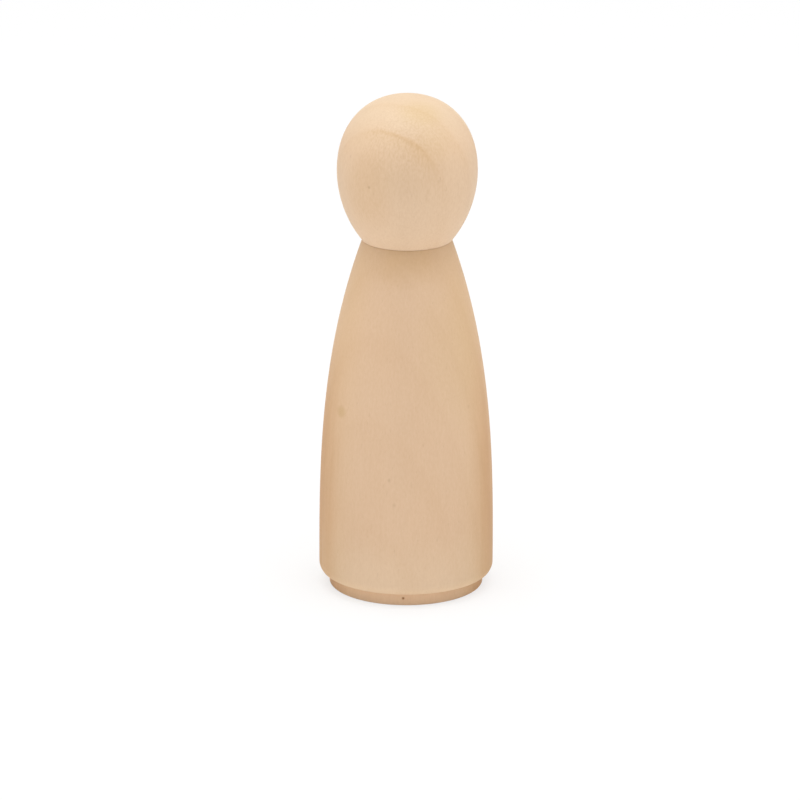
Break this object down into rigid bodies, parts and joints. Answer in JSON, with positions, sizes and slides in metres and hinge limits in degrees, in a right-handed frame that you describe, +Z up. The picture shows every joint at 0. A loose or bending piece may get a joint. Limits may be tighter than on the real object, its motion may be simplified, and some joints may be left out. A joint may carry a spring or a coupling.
{
  "type": "wooden peg doll",
  "caption": "Unpainted turned wooden peg doll with an ovoid head doweled to a tapering, footed body.",
  "frame": {"origin": "centre of the foot's flat underside, on the turning axis", "axes": "+Z up along the turning axis, from foot to crown; the doll is round, so X and Y are free, and -Y is taken as its front"},
  "size_m": [0.026, 0.026, 0.075],
  "materials": {
    "body_wood": "bare, fine-sanded pale close-grained wood, matte",
    "head_wood": "bare, fine-sanded pale close-grained wood, matte",
    "dowel_wood": "bare fluted dowel rod, matte"
  },
  "bodies": {
    "root": {"body": "body_wood", "head": "head_wood", "neck_dowel": "dowel_wood"}
  },
  "joints": []
}
